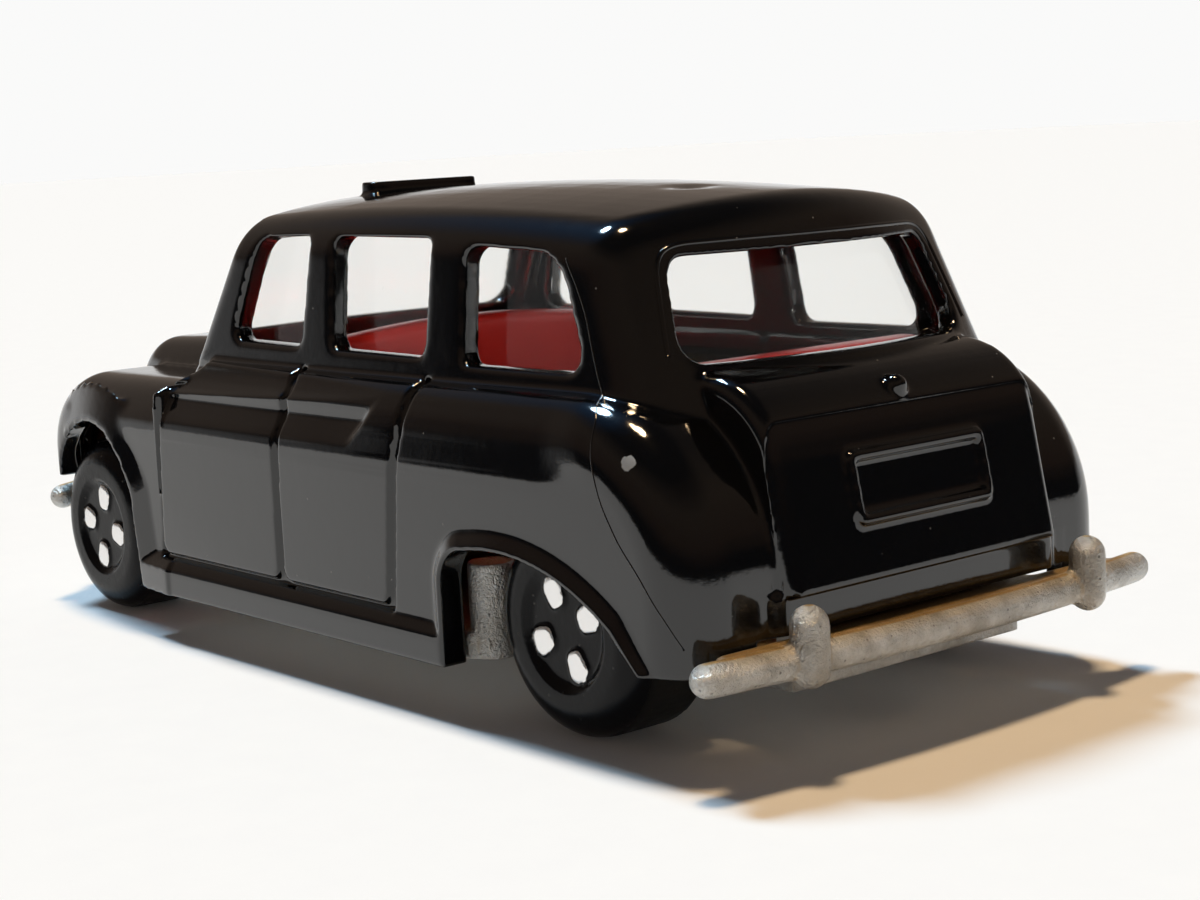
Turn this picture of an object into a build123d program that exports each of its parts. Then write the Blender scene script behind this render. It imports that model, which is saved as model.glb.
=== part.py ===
"""Small die-cast toy taxi cab: zinc body on a zinc base, clear glazing, red seats, two wheelsets.

Millimetres, +X forward, +Y to the left, +Z up. The origin is on the ground, midway between
the bumpers. The body is one casting, hollow from below, closed by the base that carries the
bumpers, the grille and the axle bearings. Two posts of the body are spun over under the base.
"""

import os

from build123d import *

os.makedirs("parts", exist_ok=True)

# Lengths from the back to the front
REAR_OVERHANG = 12.4  # behind the rear axle
REAR_QUARTER = 10.0  # rear axle to the rear doors
REAR_DOOR = 10.6
FRONT_DOOR = 11.7
FRONT_QUARTER = 10.3  # front doors to the front axle
FRONT_OVERHANG = 10.0  # ahead of the front axle
WHEEL_RADIUS = 4.95

# Stations along the car, with the origin midway between the bumpers
LENGTH = REAR_OVERHANG + REAR_QUARTER + REAR_DOOR + FRONT_DOOR + FRONT_QUARTER + FRONT_OVERHANG
REAR_X = -LENGTH / 2
FRONT_X = LENGTH / 2
REAR_AXLE_X = REAR_X + REAR_OVERHANG
C_POST_X = REAR_AXLE_X + REAR_QUARTER
B_POST_X = C_POST_X + REAR_DOOR
A_POST_X = B_POST_X + FRONT_DOOR
FRONT_AXLE_X = A_POST_X + FRONT_QUARTER

# Casting
WALL = 1.05  # body wall
FIT = 0.08  # clearance between pieces that are put together by hand
RUN = 0.05  # running clearance of an axle in its bearing

# Lower body
BODY_HALF_WIDTH = 13.4
BELT_Z = 15.2
SILL_Z = 2.5
SHOULDER_RADIUS = 2.6
TAIL_X = REAR_X + 2.9  # back of the rear wings
TAIL_RADIUS = 8.0  # the rear wings roll down from the belt in one round
WING_SKIRT_Z = 4.2  # lower edge of the rear wings
SCUTTLE_X = A_POST_X + 0.7  # front of the doors
SCUTTLE_LONG = 3.6  # the belt rolls down to the wings over this length
SCUTTLE_DROP = 1.6
WING_FRONT_X = FRONT_X - 3.4
WING_TOP_Z = 14.0
WING_DROP = 0.35  # fall of the wing crest towards the lamps
WING_START_X = A_POST_X - 10.2  # where the front wing starts inside the doors
WING_NOSE_RADIUS = 4.6
WING_PLAN_RADIUS = 200.0
WING_BOW_X = A_POST_X - 4.2  # the wings draw in from here forward
WING_SET_IN = 0.15  # wings narrower than the doors
WING_EDGE_RADIUS = 2.9

# Bonnet
BONNET_REAR_Z = 15.9
BONNET_FRONT_Z = 15.1
BONNET_REAR_HALF = 6.8
BONNET_FRONT_HALF = 5.3
BONNET_NOSE_X = FRONT_X - 2.1
BONNET_NOSE_RADIUS = 4.0
BONNET_EDGE_RADIUS = 1.8

# Boot
BOOT_HALF_WIDTH = 8.45
BOOT_TOP_Z = 15.9
BOOT_LOW_Z = 7.0  # lower edge of the lid
BOOT_REAR_X = REAR_X + 1.95  # at the lid's lower edge
BOOT_LEAN = 8.0  # degrees
BOOT_RADIUS = 4.5
BOOT_EDGE_RADIUS = 0.7
VALANCE_HALF = 9.7
VALANCE_X = BOOT_REAR_X + 0.55
VALANCE_ROUND = 0.35

# Cabin
ROOF_Z = 23.7
ROOF_CROWN_X = C_POST_X + 5.1
ROOF_LONG_RADIUS = 220.0
ROOF_SWEEP = 9  # degrees of the roof's long round to each side
ROOF_CROWN_RADIUS = 46.0
ROOF_EDGE_RADIUS = 2.7
CABIN_BELT_HALF = 11.3
CABIN_TOP_HALF = 10.3
CABIN_TOP_Z = 22.4
CABIN_LOW_Z = 12.5
SCREEN_BASE = (A_POST_X + 0.8, 15.6)  # x and z of the windscreen's foot on the centre line
SCREEN_LEAN = 31.0
SCREEN_BOW = 45.0
SCREEN_EDGE_RADIUS = 1.0
BACKLIGHT_BASE = (REAR_AXLE_X - 6.5, 16.1)  # x and z of the rear window's foot on the centre line
BACKLIGHT_LEAN = 25.0
BACKLIGHT_BOW = 25.0
BACKLIGHT_EDGE_RADIUS = 2.3

# Wheel arches and sill, with a flared lip that slopes out to a narrow edge
LIP_PROUD = 0.38
LIP_EDGE = 0.12
REAR_LIP = 0.75  # width of the slope over the rear arches
FRONT_LIP = 1.2  # width of the slope over the front arches
SILL_LIP = 0.55  # height of the slope over the sill
SILL_TOP_Z = 3.9
FRONT_LIP_TURN = 5.2  # degrees by which the front lip turns in with the wing
FRONT_LIP_AHEAD = 3.0  # end of the lip ahead of the front axle
REAR_ARCH_FRONT = 6.8  # ahead of the rear axle
REAR_ARCH_TOP_Z = 8.05
REAR_ARCH_CORNER = 1.8
REAR_ARCH_CREST = (1.2, 7.65)  # behind the rear axle, and z
REAR_ARCH_BACK = (4.8, 5.9)  # behind the rear axle, and z
REAR_ARCH_TAIL = 6.6  # behind the rear axle, at the wing's lower edge
FRONT_ARCH_RADIUS = 6.2
FRONT_ARCH_SET_BACK = 0.7  # arch centre behind the front axle
FRONT_ARCH_FLARE = 1.1

# Door lines
GROOVE_DEPTH = 0.32
SILL_GROOVE = 0.3
DOOR_LOW_Z = 4.75
DOOR_ROUND = 0.6
# x at the belt, x at the sill and width
DOOR_LINES = (
    (C_POST_X, C_POST_X + 1.2, 0.52),
    (B_POST_X, B_POST_X + 0.25, 0.46),
    (A_POST_X, A_POST_X + 0.8, 0.3),
)

# Window openings, each corner with x, z and its round
SIDE_WINDOWS = (
    (
        (A_POST_X - 4.4, 16.3, 0.6),
        (A_POST_X - 6.4, 21.5, 0.9),
        (B_POST_X + 0.3, 21.6, 0.6),
        (B_POST_X + 0.6, 16.2, 0.6),
    ),
    (
        (B_POST_X - 2.2, 16.2, 0.6),
        (B_POST_X - 1.8, 21.6, 0.6),
        (C_POST_X + 0.5, 21.5, 0.6),
        (C_POST_X + 0.6, 16.1, 0.6),
    ),
    (
        (C_POST_X - 2.4, 15.9, 0.6),
        (C_POST_X - 2.1, 21.2, 0.8),
        (REAR_AXLE_X + 1.1, 20.9, 2.6),
        (REAR_AXLE_X - 1.1, 15.9, 0.8),
    ),
)
REAR_WINDOW_Z = (16.15, 20.6)
REAR_WINDOW_HALF = (8.7, 7.8)
REAR_WINDOW_ROUND = 1.0
SCREEN_Z = (16.5, 21.3)
SCREEN_HALF = (9.2, 8.3)
SCREEN_ROUND = 0.9

# Roof sign
SIGN_X = A_POST_X - 6.4
SIGN_HALF = 3.4
SIGN_LONG = 1.5
SIGN_TOP_Z = 24.0
SIGN_ROUND = 0.35

# Number plate frame on the boot
PLATE_HALF = 4.25
PLATE_UP = (2.35, 5.4)  # lower and upper edge, up the lid from its lower edge
PLATE_RIM = 0.4
PLATE_PROUD = 0.3

# Boot handle
HANDLE_Z = 14.6
HANDLE_RADIUS = 0.55
HANDLE_SET_IN = 2.0  # ahead of the boot's back

# Headlamps
LAMP_Y = 8.6
LAMP_Z = 10.7
LAMP_RADIUS = 1.7
LAMP_PROUD = 0.2
LAMP_DEPTH = 2.0

# Grille, part of the base
GRILLE_HALF = 3.3
GRILLE_Z = (6.3, 12.9)  # its foot stands below the bonnet's lower edge
GRILLE_TOP_ROUND = 2.2
GRILLE_LOW_ROUND = 0.5
GRILLE_PROUD = 0.4
GRILLE_DEEP = 1.8
GRILLE_SLOTS = 7
GRILLE_SLOT_WIDTH = 0.4
GRILLE_SLOT_DEPTH = 0.5
GRILLE_RIM = 0.55

# Rivet posts
POST_RADIUS = 1.3
REAR_POST_X = REAR_X + 6.1
FRONT_POST_X = FRONT_X - 5.9
RIVET_RADIUS = 1.9
RIVET_HEIGHT = 0.45
RIVET_SINK = 0.05  # the rivet heads lie this far above the underside

# Base
BASE_LOW_Z = 2.6
BASE_THICK = 1.2
BASE_REAR_X = REAR_X + 3.5
BASE_FRONT_X = FRONT_X - 2.7
BASE_HALF_AT_WHEELS = 7.2
WELL_AHEAD = 6.6  # the wide floor starts this far ahead of the rear axle
BEARING_Y = 5.6
BEARING_THICK = 1.4
BEARING_LONG = 3.0
BEARING_CAP = 1.15  # metal above the axle
BEARING_TOP_Z = WHEEL_RADIUS + BEARING_CAP
TRAY_BOSS_X = A_POST_X - 6.2
TRAY_BOSS = (3.0, 8.0)  # along and across the car
STEM_THICK = 1.3
RISER_THICK = 1.0

# Posts of the base in the front of the rear arches
ARCH_POST_AHEAD = 6.6
ARCH_POST_Y = 10.9
ARCH_POST_RADIUS = 1.1
ARCH_POST_TOP_Z = 7.0

# Bumpers: bowed bars with a flat shelf behind them
BUMPER_RADIUS = 0.72
REAR_BUMPER_HALF = 14.2
REAR_BUMPER_Z = 4.7
REAR_BUMPER_BOW = 0.9  # the middle stands this far out from the tips
REAR_SHELF_HALF = 12.2
FRONT_BUMPER_HALF = 12.4
FRONT_BUMPER_Z = 6.1
FRONT_BUMPER_BOW = 3.5
SHELF_RISE = 0.6  # top of the shelf above the bar's centre
SHELF_THICK = 1.0
SHELF_BACK = 0.95  # the shelf ends this far behind the tips
SHELF_LAP = 1.0
OVERRIDER_Y = 8.8
OVERRIDER_RADIUS = 0.82
OVERRIDER_PROUD = 0.5  # out from the bar's centre
OVERRIDER_LOW = 1.1  # below the bar's centre
OVERRIDER_HIGH = 2.35  # above the bar's centre

# Wheels and axles
WHEEL_FACE_Y = 12.2
WHEEL_WIDTH = 4.2
TYRE_SHOULDER = 1.5
RIM_RADIUS = 2.8
RIM_BEVEL = 0.2
HUB_RADIUS = 2.5
HUB_DEPTH = 0.3
WHEEL_BACK_RADIUS = 3.9
WHEEL_BACK_DEPTH = 2.2
WHEEL_BOSS_RADIUS = 1.7
PAD_RADIUS = 1.66  # centres of the four foiled pads
PAD_LONG = 1.35
PAD_WIDE = 1.45
PAD_TAPER = 80
PAD_ROUND = 0.4
PAD_HEIGHT = 0.18
AXLE_RADIUS = 0.6
AXLE_GRIP = 0.02  # clearance drawn for the press fit of a wheel on its axle
HUB_CLOSED = 1.0  # wheel in front of the axle's end

# Seats
TRAY_HALF = 7.1
TRAY_REAR_X = REAR_AXLE_X - 2.9
TRAY_FRONT_X = A_POST_X - 3.2
TRAY_THICK = 0.9
SEAT_HALF = 8.7
SEAT_LOW_Z = 10.6
SEAT_TOP_Z = 16.9
CUSHION_Z = 11.6
SEAT_BACK = 1.7
REAR_SEAT = (REAR_AXLE_X - 2.3, REAR_AXLE_X + 4.9)
FRONT_SEAT = (B_POST_X + 0.9, B_POST_X + 5.5)
DASH_THICK = 1.6
DASH_TOP_Z = 15.3
STEERING = (A_POST_X - 5.6, -4.2, 14.8)
STEERING_RADIUS = 1.5
STEERING_WIRE = 0.3
STEERING_LEAN = 55

# Glazing
GLASS = 0.7
GLASS_LOW_Z = 15.0

# Valley above the wing line in the front doors
VALLEY_RADIUS = 2.6
VALLEY_DEPTH = 0.6
VALLEY_FRONT_X = SCUTTLE_X + 1.0
VALLEY_END_X = C_POST_X + 2.1

# Derived
BASE_HALF_WIDTH = BODY_HALF_WIDTH - WALL - FIT
BASE_WIDE_LONG = SCUTTLE_X - FIT - REAR_AXLE_X - WELL_AHEAD
RIVET_LOW_Z = BASE_LOW_Z + RIVET_SINK
SHELF_Z = REAR_BUMPER_Z + SHELF_RISE
VALANCE_Z = SHELF_Z + FIT
UPRIGHT = (Align.CENTER, Align.CENTER, Align.MIN)
RIVET_POSTS = ((REAR_POST_X, BOOT_TOP_Z - WALL + FIT), (FRONT_POST_X, BONNET_FRONT_Z - WALL / 2))

COS_45 = 0.5**0.5
SIN_ARCH = 0.4  # the front arch's round ends this share of its radius above the axle
COS_ARCH = (1 - SIN_ARCH**2) ** 0.5


def leaning_bow(base, lean, bow, inset, side):
    """Round bar whose near side is a bowed, leaning screen; side is +1 at the front, -1 at the back."""
    foot = Vector(base[0], 0, base[1])
    up = Vector(0, 0, 1).rotate(Axis.Y, -side * lean)
    inward = Vector(-side, 0, 0).rotate(Axis.Y, -side * lean)
    centre = foot + inward * bow
    with BuildPart() as bar:
        with BuildSketch(Plane(origin=centre, x_dir=inward, z_dir=up)):
            Circle(bow - inset)
        extrude(amount=2 * LENGTH, both=True)
    return bar.part


def cabin_form(inset):
    """Crowned roof on leaning sides, closed by the two screens, all drawn in by inset."""
    backlight = leaning_bow(BACKLIGHT_BASE, BACKLIGHT_LEAN, BACKLIGHT_BOW, inset, -1)
    screen = leaning_bow(SCREEN_BASE, SCREEN_LEAN, SCREEN_BOW, inset, 1)
    rear_limit = BACKLIGHT_BASE[0] + CABIN_TOP_HALF / 2
    front_limit = SCREEN_BASE[0] - CABIN_TOP_HALF / 2 - inset
    lean = (CABIN_BELT_HALF - CABIN_TOP_HALF) / (CABIN_TOP_Z - BELT_Z)
    crown_z = ROOF_Z - inset
    eaves_half = CABIN_TOP_HALF - inset
    eaves_z = crown_z - eaves_half**2 / (2 * ROOF_CROWN_RADIUS)
    low_half = eaves_half + lean * (eaves_z - CABIN_LOW_Z)
    axis = Axis((ROOF_CROWN_X, 0, ROOF_Z - ROOF_LONG_RADIUS), (0, 1, 0))
    with BuildPart() as form:
        with BuildSketch(Plane.YZ.offset(ROOF_CROWN_X)) as section:
            with BuildLine():
                Polyline(
                    (-eaves_half, eaves_z),
                    (-low_half, CABIN_LOW_Z),
                    (low_half, CABIN_LOW_Z),
                    (eaves_half, eaves_z),
                )
                ThreePointArc((eaves_half, eaves_z), (0, crown_z), (-eaves_half, eaves_z))
            make_face()
            eaves = section.vertices().group_by(Axis.Y)[-1]
            fillet(eaves, ROOF_EDGE_RADIUS - inset)
        revolve(axis=axis, revolution_arc=ROOF_SWEEP)
        mirror(form.part, about=Plane.YZ.offset(ROOF_CROWN_X))
        add(backlight, mode=Mode.INTERSECT)
        add(screen, mode=Mode.INTERSECT)
        above = form.edges().filter_by(lambda e: e.center().Z > CABIN_LOW_Z + 1)
        fillet(above.filter_by(lambda e: e.center().X < rear_limit), BACKLIGHT_EDGE_RADIUS - inset)
        above = form.edges().filter_by(lambda e: e.center().Z > CABIN_LOW_Z + 1)
        screen_round = max(SCREEN_EDGE_RADIUS - inset, WALL / 4)
        fillet(above.filter_by(lambda e: e.center().X > front_limit), screen_round)
    return form.part


def tail_chain(form, half, low_z, front_x):
    """Edges that run up the tail and along the belt on both flanks."""
    flank = form.edges().filter_by(lambda e: abs(abs(e.center().Y) - half) < 1e-4)
    return flank.filter_by(lambda e: e.center().Z > low_z + 0.01 and e.center().X < front_x - 0.01)


def door_block(inset, low_z):
    """Doors and rear wings: one long box whose tail rolls down in a round."""
    half = BODY_HALF_WIDTH - inset
    tail = TAIL_X + inset
    belt = BELT_Z - inset
    radius = TAIL_RADIUS - inset
    roll_z = belt - radius
    roll_mid = (tail + radius * (1 - COS_45), roll_z + radius * COS_45)
    roll_end = (tail + radius, belt)
    scuttle = (SCUTTLE_X - SCUTTLE_LONG, belt)
    scuttle_foot = (SCUTTLE_X, belt - SCUTTLE_DROP)
    with BuildPart() as block:
        with BuildSketch(Plane.XZ):
            with BuildLine():
                Line((tail, low_z), (tail, roll_z))
                ThreePointArc((tail, roll_z), roll_mid, roll_end)
                Polyline(roll_end, (SCUTTLE_X, belt), (SCUTTLE_X, low_z), (tail, low_z))
            make_face()
        extrude(amount=half, both=True)
        fillet(tail_chain(block, half, low_z, SCUTTLE_X), SHOULDER_RADIUS - inset)
        with BuildSketch(Plane.XZ):
            with BuildLine():
                Polyline(scuttle, scuttle_foot, (SCUTTLE_X, ROOF_Z), (scuttle[0], ROOF_Z), close=True)
            make_face()
        extrude(amount=LENGTH, both=True, mode=Mode.SUBTRACT)
    return block.part


def wing_block(inset, low_z):
    """Front wings: drawn in towards the lamps by a bowed plan, with a rounded crest and front."""
    half = BODY_HALF_WIDTH - WING_SET_IN - inset
    front = WING_FRONT_X - inset
    crest_rear = WING_TOP_Z - inset
    crest_front = crest_rear - WING_DROP
    radius = WING_NOSE_RADIUS - inset
    taper = WING_FRONT_X - WING_BOW_X
    front_half = half - taper**2 / (2 * WING_PLAN_RADIUS)
    mid_half = half - (taper / 2) ** 2 / (2 * WING_PLAN_RADIUS)
    mid_x = (WING_BOW_X + WING_FRONT_X) / 2
    nose_mid = (front - radius * (1 - COS_45), crest_front - radius * (1 - COS_45))
    with BuildPart() as block:
        with BuildSketch(Plane.XZ):
            with BuildLine():
                Line((WING_START_X, low_z), (WING_START_X, crest_rear))
                Line((WING_START_X, crest_rear), (front - radius, crest_front))
                ThreePointArc((front - radius, crest_front), nose_mid, (front, crest_front - radius))
                Polyline((front, crest_front - radius), (front, low_z), (WING_START_X, low_z))
            make_face()
        extrude(amount=half, both=True)
        with BuildSketch(Plane.XY):
            with BuildLine():
                Polyline((WING_BOW_X, half), (WING_START_X, half), (WING_START_X, -half), (WING_BOW_X, -half))
                ThreePointArc((WING_BOW_X, -half), (mid_x, -mid_half), (WING_FRONT_X, -front_half))
                Line((WING_FRONT_X, -front_half), (WING_FRONT_X, front_half))
                ThreePointArc((WING_FRONT_X, front_half), (mid_x, mid_half), (WING_BOW_X, half))
            make_face()
        extrude(amount=2 * ROOF_Z, both=True, mode=Mode.INTERSECT)
        crest = block.edges().filter_by(lambda e: abs(e.center().Y) > front_half - 0.01)
        crest = crest.filter_by(lambda e: e.center().X > WING_START_X + 0.01 and e.center().Z > low_z + 0.01)
        mid_z = (low_z + crest_rear) / 2
        crest = crest.filter_by(lambda e: abs(e.center().Z - mid_z) > WALL or e.center().X > mid_x)
        fillet(crest, WING_EDGE_RADIUS - inset)
    return block.part


def bonnet_block(inset, low_z):
    """Bonnet: a narrowing dome whose front drops into the grille."""
    rear_half = BONNET_REAR_HALF - inset
    front_half = BONNET_FRONT_HALF - inset
    nose = BONNET_NOSE_X - inset
    rear_z = BONNET_REAR_Z - inset
    front_z = BONNET_FRONT_Z - inset
    radius = BONNET_NOSE_RADIUS - inset
    rear_x = SCUTTLE_X - 4 * WALL
    nose_mid = (nose - radius * (1 - COS_45), front_z - radius * (1 - COS_45))
    with BuildPart() as block:
        with BuildSketch(Plane.XZ):
            with BuildLine():
                Line((rear_x, low_z), (rear_x, rear_z))
                Line((rear_x, rear_z), (nose - radius, front_z))
                ThreePointArc((nose - radius, front_z), nose_mid, (nose, front_z - radius))
                Polyline((nose, front_z - radius), (nose, low_z), (rear_x, low_z))
            make_face()
        extrude(amount=rear_half, both=True)
        with BuildSketch(Plane.XY):
            with BuildLine():
                Polyline(
                    (rear_x, -rear_half),
                    (nose, -front_half),
                    (nose, front_half),
                    (rear_x, rear_half),
                    close=True,
                )
            make_face()
        extrude(amount=2 * ROOF_Z, both=True, mode=Mode.INTERSECT)
        rim = block.edges().filter_by(lambda e: abs(e.center().Y) > front_half - 0.01)
        rim = rim.filter_by(lambda e: e.center().X > rear_x + 0.01 and e.center().Z > low_z + 0.01)
        fillet(rim, BONNET_EDGE_RADIUS - inset)
    return block.part


def boot_block(inset, low_z):
    """Boot lid: leans forward and rolls over to the rear window, proud of the rear wings."""
    half = BOOT_HALF_WIDTH - inset
    top = BOOT_TOP_Z - inset
    foot_z = max(low_z, BOOT_LOW_Z)
    foot = Vector(BOOT_REAR_X + inset, foot_z)
    up = Vector(0, 1).rotate(Axis.Z, -BOOT_LEAN)
    crest = foot + up * ((top - foot_z) / up.Y)
    front_x = TAIL_X + 2 * TAIL_RADIUS
    with BuildPart() as block:
        with BuildSketch(Plane.XZ):
            with BuildLine():
                FilletPolyline(foot, crest, (front_x, top), radius=BOOT_RADIUS - inset)
                Polyline((front_x, top), (front_x, foot_z), foot)
            make_face()
        extrude(amount=half, both=True)
        fillet(tail_chain(block, half, foot_z, front_x), max(BOOT_EDGE_RADIUS - inset, WALL / 4))
    return block.part


def valance_block(inset, low_z):
    """Panel under the boot lid, a little wider and set in under the lid's lower edge."""
    rear = VALANCE_X + inset
    with BuildPart() as block:
        with Locations((rear, 0, low_z)):
            Box(
                TAIL_RADIUS,
                2 * (VALANCE_HALF - inset),
                BOOT_LOW_Z + FIT - low_z,
                align=(Align.MIN, Align.CENTER, Align.MIN),
            )
        rim = block.edges().filter_by(lambda e: e.center().X < rear + 0.01 and e.center().Z > low_z + 0.01)
        fillet(rim, max(VALANCE_ROUND - inset, WALL / 4))
    return block.part


def rear_arch(grow):
    """Outline of the rear arch and the open space under the rear wing, grown by grow for its lip."""
    front = REAR_AXLE_X + REAR_ARCH_FRONT + grow
    top = REAR_ARCH_TOP_Z + grow
    corner = REAR_ARCH_CORNER + grow
    back = (REAR_AXLE_X - REAR_ARCH_BACK[0] - grow * COS_45, REAR_ARCH_BACK[1] + grow * COS_45)
    crest = (REAR_AXLE_X - REAR_ARCH_CREST[0], REAR_ARCH_CREST[1] + grow)
    tail_x = REAR_AXLE_X - REAR_ARCH_TAIL - grow * COS_45
    corner_mid = (front - corner * (1 - COS_45), top - corner * (1 - COS_45))
    with BuildSketch(Plane.XZ) as outline:
        with BuildLine():
            Line((front, 0), (front, top - corner))
            ThreePointArc((front, top - corner), corner_mid, (front - corner, top))
            ThreePointArc((front - corner, top), crest, back)
            Polyline(back, (tail_x, WING_SKIRT_Z), (-LENGTH, WING_SKIRT_Z), (-LENGTH, 0), (front, 0))
        make_face()
    return outline.sketch


def front_arch(grow):
    """Outline of the front arch, a round with a flared back, and the open space under the nose."""
    centre_x = FRONT_AXLE_X - FRONT_ARCH_SET_BACK
    radius = FRONT_ARCH_RADIUS + grow
    side = (centre_x - radius * COS_ARCH, WHEEL_RADIUS + radius * SIN_ARCH)
    fore = (centre_x + radius * COS_ARCH, WHEEL_RADIUS + radius * SIN_ARCH)
    foot_x = side[0] - FRONT_ARCH_FLARE
    with BuildSketch(Plane.XZ) as outline:
        with BuildLine():
            Line((foot_x, 0), side)
            ThreePointArc(side, (centre_x, WHEEL_RADIUS + radius), fore)
            Polyline(fore, (LENGTH, fore[1]), (LENGTH, 0), (foot_x, 0))
        make_face()
    return outline.sketch


def through(outline):
    """A cutter that runs the outline right across the car."""
    with BuildPart() as cutter:
        extrude(outline, amount=LENGTH, both=True)
    return cutter.part


def lower_blocks(inset, low_z):
    """The blocks that make up the car below the belt."""
    blocks = (door_block, wing_block, bonnet_block, boot_block, valance_block)
    return [block(inset, low_z) for block in blocks]


def sill(rear_x, front_x, grow):
    """Outline of the sill between two stations, its top raised by grow."""
    with BuildSketch(Plane.XZ) as outline:
        with Locations((rear_x, SILL_Z)):
            Rectangle(front_x - rear_x, SILL_TOP_Z - SILL_Z + grow, align=(Align.MIN, Align.MIN))
    return outline.sketch


def flare(edge, foot, turn):
    """Lip that slopes from its foot, sunk in the flank, out to its edge; turned in about the scuttle."""
    crest_y = BODY_HALF_WIDTH + LIP_PROUD
    hinge = Pos(SCUTTLE_X, crest_y, 0) * Rot(0, 0, -turn)
    outer = hinge * Pos(-SCUTTLE_X, 0, 0) * edge
    inner = hinge * Pos(-SCUTTLE_X, -2 * LIP_PROUD, 0) * foot
    with BuildPart() as lip:
        loft([outer.face(), inner.face()], ruled=True)
        with Locations((REAR_X, 0, SILL_Z)):
            Box(
                FRONT_AXLE_X + FRONT_LIP_AHEAD - REAR_X,
                LENGTH,
                ROOF_Z,
                align=(Align.MIN, Align.CENTER, Align.MIN),
                mode=Mode.INTERSECT,
            )
        mirror(about=Plane.XZ)
    return lip.part


def window_outline(corners):
    """One side window, its corners rounded one by one."""
    with BuildSketch(Plane.XZ) as outline:
        with BuildLine():
            points = [(x, z) for x, z, _ in corners]
            rounds = [radius for _, _, radius in corners]
            FilletPolyline(*points, radius=rounds, close=True)
        make_face()
    return outline.sketch


def screen_outline(heights, halves, radius):
    """Windscreen or rear window seen along the car."""
    with BuildSketch(Plane.YZ) as outline:
        with BuildLine():
            Polyline(
                (-halves[0], heights[0]),
                (halves[0], heights[0]),
                (halves[1], heights[1]),
                (-halves[1], heights[1]),
                close=True,
            )
        make_face()
        fillet(outline.vertices(), radius)
    return outline.sketch


def grille_outline(grow):
    """The grille seen from the front, with a high round top."""
    with BuildSketch(Plane.YZ.offset(BONNET_NOSE_X - GRILLE_DEEP)) as outline:
        with Locations((0, sum(GRILLE_Z) / 2)):
            Rectangle(2 * (GRILLE_HALF + grow), GRILLE_Z[1] - GRILLE_Z[0] + 2 * grow)
        fillet(outline.vertices().group_by(Axis.Y)[-1], GRILLE_TOP_ROUND + grow)
        fillet(outline.vertices().group_by(Axis.Y)[0], GRILLE_LOW_ROUND + grow)
    return outline.sketch


def door_valley(side):
    """Long round cutter that hollows the shoulder above the wing line and fades out in the rear door."""
    middle = (BODY_HALF_WIDTH - SHOULDER_RADIUS, BELT_Z - SHOULDER_RADIUS)
    reach = SHOULDER_RADIUS + VALLEY_RADIUS
    front = Vector(
        VALLEY_FRONT_X,
        side * (middle[0] + (reach - VALLEY_DEPTH) * COS_45),
        middle[1] + (reach - VALLEY_DEPTH) * COS_45,
    )
    end = Vector(VALLEY_END_X, side * (middle[0] + reach * COS_45), middle[1] + reach * COS_45)
    with BuildPart() as cutter:
        with BuildSketch(Plane(origin=end, z_dir=front - end)):
            Circle(VALLEY_RADIUS)
        extrude(amount=(front - end).length)
    return cutter.part


# Body shell

valleys = [door_valley(side) for side in (-1, 1)]
grille_opening = grille_outline(FIT)
outer_low = lower_blocks(0, SILL_Z)
outer_cabin = cabin_form(0)
inner_low = lower_blocks(WALL, 0)
inner_cabin = cabin_form(WALL)
rear_sill = (REAR_AXLE_X, SCUTTLE_X)
front_sill = (SCUTTLE_X - WALL, FRONT_AXLE_X)
lips = [
    flare(rear_arch(LIP_EDGE), rear_arch(LIP_EDGE + 2 * REAR_LIP), 0),
    flare(sill(*rear_sill, 0), sill(*rear_sill, 2 * SILL_LIP), 0),
    flare(sill(*front_sill, 0), sill(*front_sill, 2 * SILL_LIP), FRONT_LIP_TURN),
    flare(front_arch(LIP_EDGE), front_arch(LIP_EDGE + 2 * FRONT_LIP), FRONT_LIP_TURN),
]
groove_core = lower_blocks(GROOVE_DEPTH, SILL_Z)
arch_cutters = [through(rear_arch(0)), through(front_arch(0))]
window_cutters = [through(window_outline(corners)) for corners in SIDE_WINDOWS]
rear_window = screen_outline(REAR_WINDOW_Z, REAR_WINDOW_HALF, REAR_WINDOW_ROUND)
front_window = screen_outline(SCREEN_Z, SCREEN_HALF, SCREEN_ROUND)

lid_out = Vector(-1, 0, 0).rotate(Axis.Y, BOOT_LEAN)
lid = Plane(origin=(BOOT_REAR_X, 0, BOOT_LOW_Z), x_dir=(0, -1, 0), z_dir=lid_out)

with BuildPart() as grooves:
    with BuildSketch(Plane.XZ):
        rear_line = DOOR_LINES[0]
        front_line = DOOR_LINES[-1]
        with BuildLine():
            Polyline(
                (rear_line[0] - rear_line[2] / 2, BELT_Z),
                (front_line[0] + front_line[2] / 2, BELT_Z),
                (front_line[1] + front_line[2] / 2, DOOR_LOW_Z - SILL_GROOVE),
                (rear_line[1] - rear_line[2] / 2, DOOR_LOW_Z - SILL_GROOVE),
                close=True,
            )
        make_face()
        for rear_line, front_line in zip(DOOR_LINES, DOOR_LINES[1:]):
            with BuildLine():
                FilletPolyline(
                    (rear_line[0] + rear_line[2] / 2, BELT_Z),
                    (rear_line[1] + rear_line[2] / 2, DOOR_LOW_Z),
                    (front_line[1] - front_line[2] / 2, DOOR_LOW_Z),
                    (front_line[0] - front_line[2] / 2, BELT_Z),
                    radius=DOOR_ROUND,
                )
                Line((front_line[0] - front_line[2] / 2, BELT_Z), (rear_line[0] + rear_line[2] / 2, BELT_Z))
            make_face(mode=Mode.SUBTRACT)
    extrude(amount=LENGTH, both=True)
    for block in groove_core:
        add(block, mode=Mode.SUBTRACT)

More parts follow.
